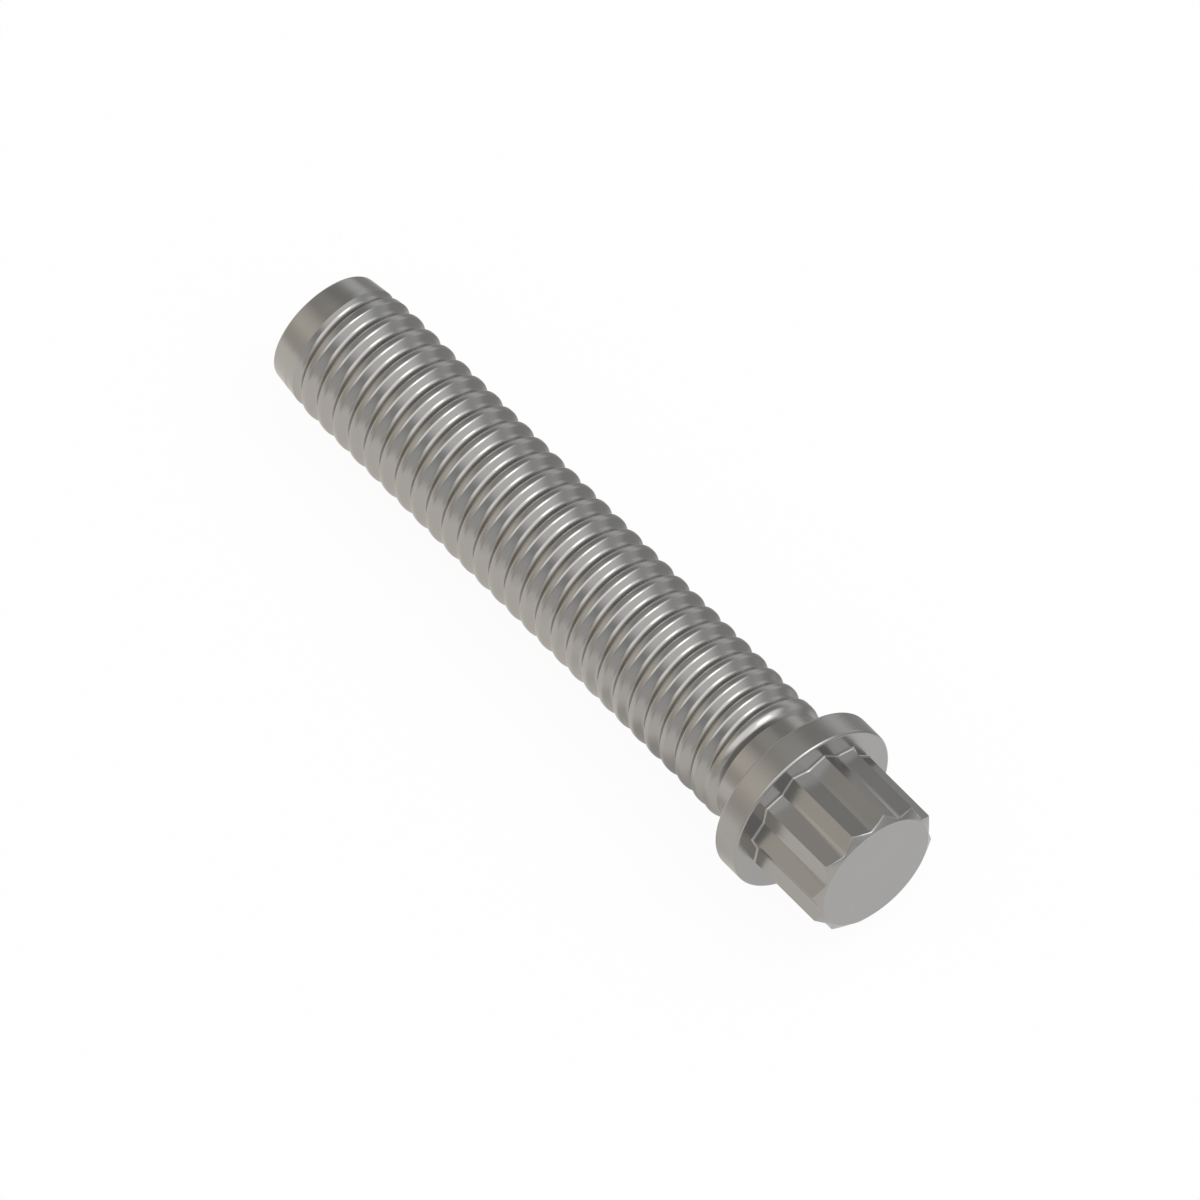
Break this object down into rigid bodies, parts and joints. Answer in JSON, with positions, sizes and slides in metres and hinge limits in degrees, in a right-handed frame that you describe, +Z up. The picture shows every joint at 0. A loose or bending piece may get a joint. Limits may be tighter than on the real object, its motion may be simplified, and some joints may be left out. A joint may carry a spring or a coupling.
{
  "type": "twelve-point flange head screw",
  "caption": "Screw with a twelve-point drive head on a round flange and a fully threaded shank, lying on its side.",
  "frame": {"origin": "on the floor, under the middle of the bounding box", "axes": "+X along the screw from tip to head as seen from above, +Z up; the screw's axis rises 2.25 degrees towards the head"},
  "size_m": [0.0356, 0.0082, 0.0081],
  "materials": {
    "steel": "satin"
  },
  "bodies": {
    "root": {"flange_screw": "steel"}
  },
  "joints": []
}
